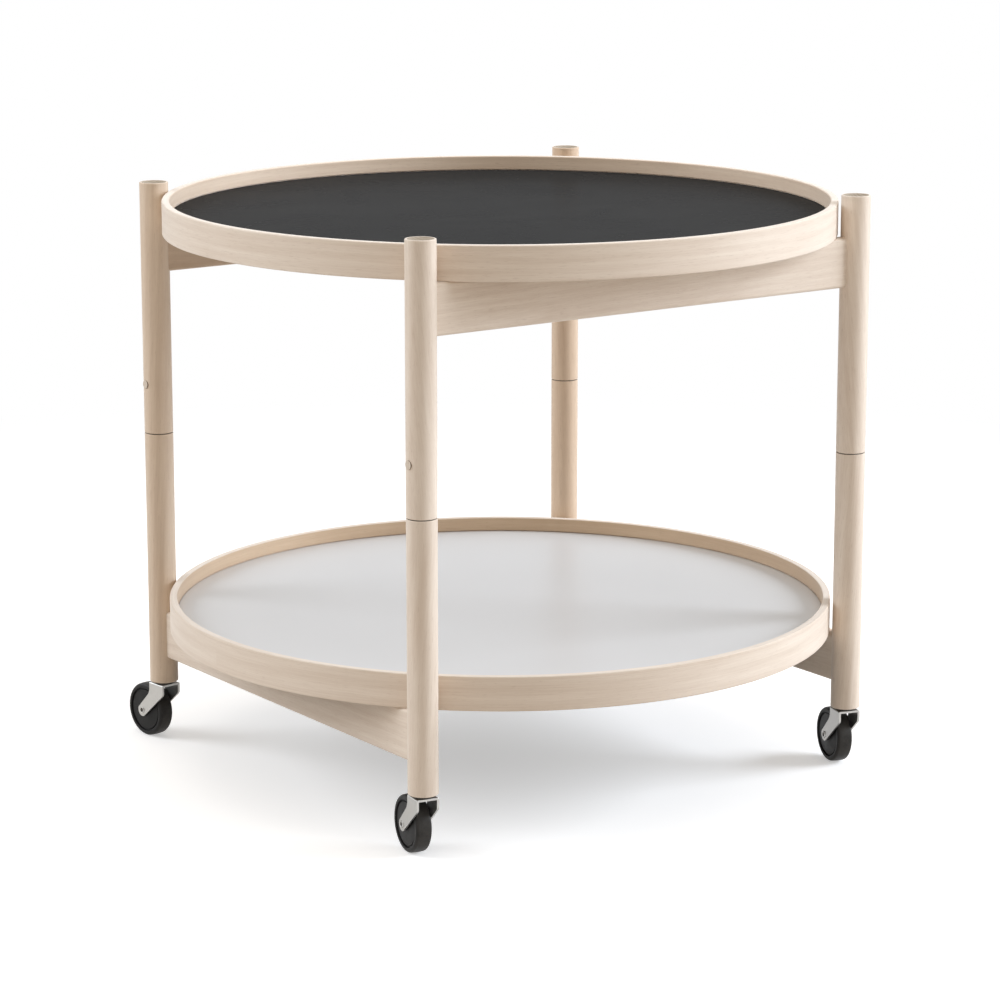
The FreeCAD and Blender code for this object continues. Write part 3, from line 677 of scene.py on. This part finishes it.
def pegTree():
    tree, given = newTree("pegPair", {
        "Peg": "Object", "Half Length": "Float", "Line Y": "Float", "Height": "Float", "Material": "Material",
    })
    left = addNode(tree, "ShaderNodeMath", {0: given["Half Length"], 1: -1.0}, operation="MULTIPLY")
    whole = addNode(tree, "ShaderNodeMath", {0: given["Half Length"], 1: 2.0}, operation="MULTIPLY")
    start = addNode(tree, "ShaderNodeCombineXYZ", {
        0: left.outputs[0], 1: given["Line Y"], 2: given["Height"],
    })
    stride = addNode(tree, "ShaderNodeCombineXYZ", {0: whole.outputs[0]})
    spots = addNode(tree, "GeometryNodeMeshLine", {
        "Count": 2, "Start Location": start.outputs[0], "Offset": stride.outputs[0],
    })
    # the first peg faces left, the second one right
    number = addNode(tree, "GeometryNodeInputIndex")
    about = addNode(tree, "ShaderNodeMath", {
        0: number.outputs[0], 1: -math.pi, 2: math.pi,
    }, operation="MULTIPLY_ADD")
    turn = addNode(tree, "ShaderNodeCombineXYZ", {2: about.outputs[0]})
    peg = addNode(tree, "GeometryNodeObjectInfo", {"Object": given["Peg"]})
    pair = addNode(tree, "GeometryNodeInstanceOnPoints", {
        "Points": spots.outputs[0], "Instance": peg.outputs["Geometry"], "Rotation": turn.outputs[0],
    })
    endTree(tree, pair.outputs[0], given["Material"])
    return tree


def pegBlank():
    user = pegSizes
    radius, edge = user["radius"], user["edge"]
    inner, crown = legSizes["radius"] - user["inset"], legSizes["radius"] + user["proud"]
    profile = [(0, inner), (radius, inner), (radius, crown - user["edgeDrop"])]
    profile += arcPoints((radius - edge, crown - edge), edge, 15, 90, 3) + [(0, crown + user["dome"])]
    outwards = Matrix.Rotation(math.pi / 2, 4, "Y")
    return newObject("pegBlank", lathe("pegBlank", profile, outwards, segments=48, dustAndShade=user["dustAndShade"]))


blank = pegBlank()
pegs = pegTree()
for depth in ("front", "back"):
    spot = legPlace[depth + "_right"]
    mesh = grownMesh("pegs_" + depth, pegs, {
        "Peg": blank, "Half Length": spot.x, "Line Y": spot.y, "Height": pegSizes["height"] * mm,
        "Material": beechPegs,
    })
    replaced = ["retaining_pegs_" + depth]
    addPiece("pegs_" + depth, mesh, [beechPegs], "upper_frame_" + depth, replaced, crease=50)
bpy.data.objects.remove(blank)
print("pegs set")

# Casters: a nylon wheel with a crowned tread, a pressed fork and a tubular rivet for an axle.
wheelSizes = {
    "radius": 25.0, "width": 14.5, "shoulder": 2.6, "ring": 4.6, "step": 1.7, "stepDepth": 1.9, "dish": 0.7,
    "hub": 8.0, "bore": 4.55, "crown": 0.25, "ease": 0.3, "hubEase": 0.5, "hubDrop": 0.2,
    "grooveWall": 0.35, "grooveFoot": 0.6, "grooveRise": (0.1, 0.12), "shoulderSteps": 8,
    # dust from the edge of the face to the middle of the tread
    "dustAndShade": (0.1, 0.15, 0.2, 0.3, 0.4, 0.5, 0.6, 0.7, 0.75, 0.8, 0.8),
}
rivetSizes = {
    "shank": 2.5, "seat": 10.2, "head": 3.2, "proud": 0.8, "hole": 1.8, "holeDepth": 0.7,
    "sunk": 0.2, "flank": 0.1, "bevel": 0.4, "lip": 0.1, "lipDrop": 0.15, "taper": 0.2,
}
forkSizes = {
    "top": 54.5, "length": 20.0, "width": 20.4, "gap": 16.4, "plate": 2.0, "outerBend": 1.4, "innerBend": 0.3,
    "straight": 10.0, "trail": 21.5, "axle": 25.0, "endRadius": 6.0, "frontEdge": 247.0, "backEdge": 22.0,
    "frontKnee": 5.0, "backKnee": 11.0, "easedEdge": 0.22, "bendSteps": 6, "endSteps": 20, "frontSteps": 6,
    "backSteps": 8,
}


def casterTurn(corner):
    axle = joints["roll_" + corner]["axis"]
    return Matrix.Rotation(math.atan2(-axle[0], axle[1]), 4, "Z")


def axlePlace(corner):
    place = Matrix.Translation(joints["roll_" + corner]["pos_m"])
    return place @ casterTurn(corner) @ Matrix.Rotation(-math.pi / 2, 4, "X")


def wheel(corner):
    user = wheelSizes
    half, outer, shoulder = user["width"] / 2, user["radius"], user["shoulder"]
    inside, deep = outer - user["ring"], half - user["stepDepth"]
    bore, hub, ease = user["bore"], user["hub"], user["ease"]
    wall, foot = user["grooveWall"], user["grooveFoot"]
    # the face is dished: a flat hub, a slope down to a groove, a steep step up to the outer ring,
    # and the tread beyond its shoulder is slightly crowned
    hollow, slope = inside - user["step"], half - user["hubDrop"]
    upper = [(bore, half - ease), (bore + ease, half), (hub - user["hubEase"], half), (hub, slope)]
    for share in (0.2, 0.4, 0.6, 0.8, 1.0):
        upper.append((hub + (hollow - hub) * share, slope - user["dish"] * share))
    upper += [(hollow + wall, deep + user["grooveRise"][0]), (hollow + foot, deep), (inside - foot, deep)]
    upper += [(inside - wall, deep + user["grooveRise"][1]), (inside, half - ease), (inside + ease, half)]
    dustAndShade = [0.0] * len(upper) + list(user["dustAndShade"])
    centre = (outer - user["crown"] - shoulder, half - shoulder)
    upper += arcPoints(centre, shoulder, 90, 4, user["shoulderSteps"])
    upper += [(outer - user["crown"] * 0.25, (half - shoulder) * 0.5), (outer, 0)]
    profile = upper + [(radius, -height) for radius, height in reversed(upper[:-1])] + upper[:1]
    dustAndShade += dustAndShade[-2::-1] + dustAndShade[:1]
    mesh = lathe("wheel_" + corner, profile, axlePlace(corner), segments=128, dustAndShade=dustAndShade)
    nylon, replaced = slotMaterial["black_nylon"], ["caster_wheel_" + corner]
    addPiece("wheel_" + corner, mesh, [nylon], "wheel_" + corner, replaced, crease=48)


def rivet(corner):
    user = rivetSizes
    shank, head, hole, seat = user["shank"], user["head"], user["hole"], user["seat"]
    top, under = seat + user["proud"], seat - user["sunk"]
    bottom = top - user["holeDepth"]
    cap = [(shank, 0), (shank, under), (head, under), (head, seat + user["flank"])]
    cap += [(head - user["bevel"], top), (hole + user["bevel"], top)]
    cap += [(hole + user["lip"], top - user["lipDrop"]), (hole - user["taper"], bottom), (0, bottom)]
    profile = [(radius, -height) for radius, height in reversed(cap)] + cap[1:]
    holes = {0, 1, len(profile) - 3, len(profile) - 2}  # painted shade: the dimples get the darker turned steel
    mesh = lathe("rivet_" + corner, profile, axlePlace(corner), segments=48, endFrom=holes)
    metals, replaced = [slotMaterial["zinc_steel"], slotMaterial["pin_steel"]], ["caster_axle_" + corner]
    addPiece("rivet_" + corner, mesh, metals, "caster_" + corner, replaced, crease=40)


def roundedKnee(before, knee, after, radius, count):
    knee = Vector(knee)
    first, last = (Vector(before) - knee).normalized(), (Vector(after) - knee).normalized()
    half = first.angle(last) / 2
    centre = knee + (first + last).normalized() * radius / math.sin(half)
    begin, finish = knee + first * radius / math.tan(half), knee + last * radius / math.tan(half)
    points = []
    for step in range(count + 1):
        way = (begin - centre).slerp(finish - centre, step / count)
        points.append(tuple(centre + way.normalized() * radius))
    return points


def fork(corner):
    user = forkSizes
    half, top, plate = user["length"] / 2, user["top"], user["plate"]
    outerBend, innerBend, steps = user["outerBend"], user["innerBend"], user["bendSteps"]
    bendStart, shoulder = top - max(outerBend, plate + innerBend), top - user["straight"]
    hub = (user["trail"], user["axle"])
    endArc = arcPoints(hub, user["endRadius"], user["frontEdge"], 360 + user["backEdge"], user["endSteps"])
    frontTop, backTop = (-half, bendStart), (half, bendStart)
    arm = [frontTop]
    arm += roundedKnee(frontTop, (-half, shoulder), endArc[0], user["frontKnee"], user["frontSteps"]) + endArc
    arm += roundedKnee(endArc[-1], (half, shoulder), backTop, user["backKnee"], user["backSteps"]) + [backTop]
    # the strip's section across the wheel: outside and inside, from one arm over the plate to the other
    wide, inside = user["width"] / 2, user["gap"] / 2
    outer = [(wide, bendStart)] + arcPoints((wide - outerBend, top - outerBend), outerBend, 0, 90, steps)
    inner = [(inside, bendStart)]
    inner += arcPoints((inside - innerBend, top - plate - innerBend), innerBend, 0, 90, steps)
    outer += [(-across, up) for across, up in reversed(outer)]
    inner += [(-across, up) for across, up in reversed(inner)]
    shape = bmesh.new()
    for sign in (1, -1):
        near = [shape.verts.new((along * mm, sign * wide * mm, up * mm)) for along, up in arm]
        far = [shape.verts.new((along * mm, sign * inside * mm, up * mm)) for along, up in arm]
        shape.faces.new(near)
        shape.faces.new(far)
        for step in range(len(arm) - 1):
            shape.faces.new((near[step], near[step + 1], far[step + 1], far[step]))
    rows = []
    for end in (-half, half):
        for path in (outer, inner):
            rows.append([shape.verts.new((end * mm, across * mm, up * mm)) for across, up in path])
    # the two cut edges of the bent plate, then its outside and its inside
    for low, high in ((rows[0], rows[1]), (rows[2], rows[3]), (rows[0], rows[2]), (rows[1], rows[3])):
        for step in range(len(outer) - 1):
            shape.faces.new((low[step], low[step + 1], high[step + 1], high[step]))
    mesh = closedMesh("fork_" + corner, shape)
    spot = legPlace[corner]
    mesh.transform(Matrix.Translation((spot.x, spot.y, 0)) @ casterTurn(corner))
    zinc, replaced = slotMaterial["zinc_steel"], ["caster_fork_" + corner]
    piece = addPiece("fork_" + corner, mesh, [zinc], "caster_" + corner, replaced, crease=30)
    ease = piece.modifiers.new("easedEdges", "BEVEL")
    ease.width = user["easedEdge"] * mm
    ease.segments = 2
    ease.limit_method = "ANGLE"
    ease.angle_limit = math.radians(40)
    piece.modifiers.move(1, 0)  # the bevel comes before the shading


for corner in corners:
    wheel(corner)
    rivet(corner)
    fork(corner)
print("casters fitted")

# Stage: a pale floor that fades to white away from the table, soft lights, the photograph's camera.
stageSizes = {
    "floor": 16.0, "floorDrop": 0.2, "fadeFrom": 0.75, "fadeTo": 1.7, "paint": "#F2EFEC", "lift": 0.43,
    "paintBounced": "#BCB3AA", "bounce": 0.07,  # what the floor gives back to the table
}
# the room's light changes from front to sides between two shares of the way to the back
roomLight = {"sides": 0.43, "front": 0.575, "turn": (-0.8, 0.1), "colour": "#FFF9F0"}
# places are metres to the right, to the back and up from lightAim
softboxes = {
    "rightSoftbox": {"power": 334.0, "size": 3.1, "place": (5.0, 0.35, 2.1), "colour": "#E8F2FF"},
    "leftSoftbox": {"power": 180.0, "size": 3.6, "place": (-5.0, 0.35, 2.6), "colour": "#EDF5FF"},
    "overheadSoftbox": {"power": 14.0, "size": 2.2, "place": (0.0, 0.2, 2.4), "colour": "#FFFFFF"},
}
lightAim = Vector((0, 0, 0.28))
cameraSizes = {
    "azimuth": -35.107, "distance": 3.0971, "height": 0.92884, "pitch": 12.577,
    "lens": 125.95, "sensor": 36.0,
}
cameraTurn = math.radians(cameraSizes["azimuth"])
toRight = Vector((math.cos(cameraTurn), math.sin(cameraTurn), 0))
toBack = Vector((-math.sin(cameraTurn), math.cos(cameraTurn), 0))


def seenRays(tree):
    # 1 for what the camera sees, also in metal or through glass, and 0 for light that falls on the table
    rays = addNode(tree, "ShaderNodeLightPath").outputs
    seen = rays["Is Camera Ray"]
    for kind in ("Is Glossy Ray", "Is Transmission Ray"):
        seen = addNode(tree, "ShaderNodeMath", {0: seen, 1: rays[kind]}, operation="MAXIMUM").outputs[0]
    return seen


def floorPiece():
    user = stageSizes
    shape = bmesh.new()
    bmesh.ops.create_grid(shape, x_segments=8, y_segments=8, size=user["floor"] / 2)
    mesh = bpy.data.meshes.new("floor")
    shape.to_mesh(mesh)
    shape.free()
    floor = newObject("floor", mesh)
    floor.location.z = -user["floorDrop"] * mm
    material, tree, shader, place = newMaterial("paleFloor")
    seen = seenRays(tree)
    paint = addNode(tree, "ShaderNodeMix", {
        "Factor": seen, mixFrom: hexColour(user["paintBounced"]), mixTo: hexColour(user["paint"]),
    }, data_type="RGBA").outputs[mixOut]
    setInputs(tree, shader, {"Base Color": paint, "Roughness": 0.9, "Specular IOR Level": 0.0})
    glow = addNode(tree, "ShaderNodeMapRange", {
        "Value": seen, "To Min": user["bounce"], "To Max": user["lift"],
    }).outputs[0]
    faint = addNode(tree, "ShaderNodeEmission", {"Strength": glow})
    lit = addNode(tree, "ShaderNodeAddShader", {0: shader.outputs[0], 1: faint.outputs[0]})
    away = addNode(tree, "ShaderNodeVectorMath", {0: place}, operation="LENGTH").outputs["Value"]
    fade = addNode(tree, "ShaderNodeMapRange", {
        "Value": away, "From Min": user["fadeFrom"], "From Max": user["fadeTo"],
    }, interpolation_type="SMOOTHSTEP").outputs[0]
    plain = addNode(tree, "ShaderNodeMath", {0: fade, 1: seen}, operation="MULTIPLY").outputs[0]
    white = addNode(tree, "ShaderNodeEmission", {"Strength": 1.0})
    both = addNode(tree, "ShaderNodeMixShader", {0: plain, 1: lit.outputs[0], 2: white.outputs[0]})
    setInputs(tree, tree.nodes["Material Output"], {"Surface": both.outputs[0]})
    mesh.materials.append(material)


def studioWorld():
    user = roomLight
    world = bpy.data.worlds.new("studio")
    scene.world = world
    world.use_nodes = True
    tree = world.node_tree
    tree.nodes.clear()
    seen = seenRays(tree)
    # the room behind the camera is brighter than its sides
    facing = addNode(tree, "ShaderNodeTexCoord").outputs["Generated"]
    ahead = addNode(tree, "ShaderNodeVectorMath", {
        0: facing, 1: toBack,
    }, operation="DOT_PRODUCT").outputs["Value"]
    room = addNode(tree, "ShaderNodeMapRange", {
        "Value": ahead, "From Min": user["turn"][0], "From Max": user["turn"][1],
        "To Min": user["front"], "To Max": user["sides"],
    }, interpolation_type="SMOOTHSTEP").outputs[0]
    level = addNode(tree, "ShaderNodeMapRange", {"Value": seen, "To Min": room, "To Max": 1.0}).outputs[0]
    tint = addNode(tree, "ShaderNodeMix", {
        "Factor": seen, mixFrom: hexColour(user["colour"]), mixTo: hexColour("#FFFFFF"),
    }, data_type="RGBA").outputs[mixOut]
    sky = addNode(tree, "ShaderNodeBackground", {"Color": tint, "Strength": level})
    addNode(tree, "ShaderNodeOutputWorld", {"Surface": sky.outputs[0]})


def softLight(name, power, size, place, colour):
    lamp = bpy.data.lights.new(name, "AREA")
    lamp.color = hexColour(colour)[:3]
    lamp.shape = "DISK"
    lamp.size = size
    lamp.energy = power
    holder = newObject(name, lamp)
    offset = toRight * place[0] + toBack * place[1] + Vector((0, 0, place[2]))
    holder.location = lightAim + offset
    holder.rotation_euler = (-offset).to_track_quat("-Z", "Y").to_euler()
    holder.visible_camera = False


def photoCamera():
    user = cameraSizes
    lens = bpy.data.cameras.new("photoCamera")
    lens.lens = user["lens"]
    lens.sensor_width = user["sensor"]
    holder = newObject("photoCamera", lens)
    holder.location = -toBack * user["distance"] + Vector((0, 0, user["height"]))
    holder.rotation_euler = (math.radians(90 - user["pitch"]), 0, cameraTurn)
    scene.camera = holder


floorPiece()
studioWorld()
for name, lamp in softboxes.items():
    softLight(name, **lamp)
photoCamera()
print("stage lit")
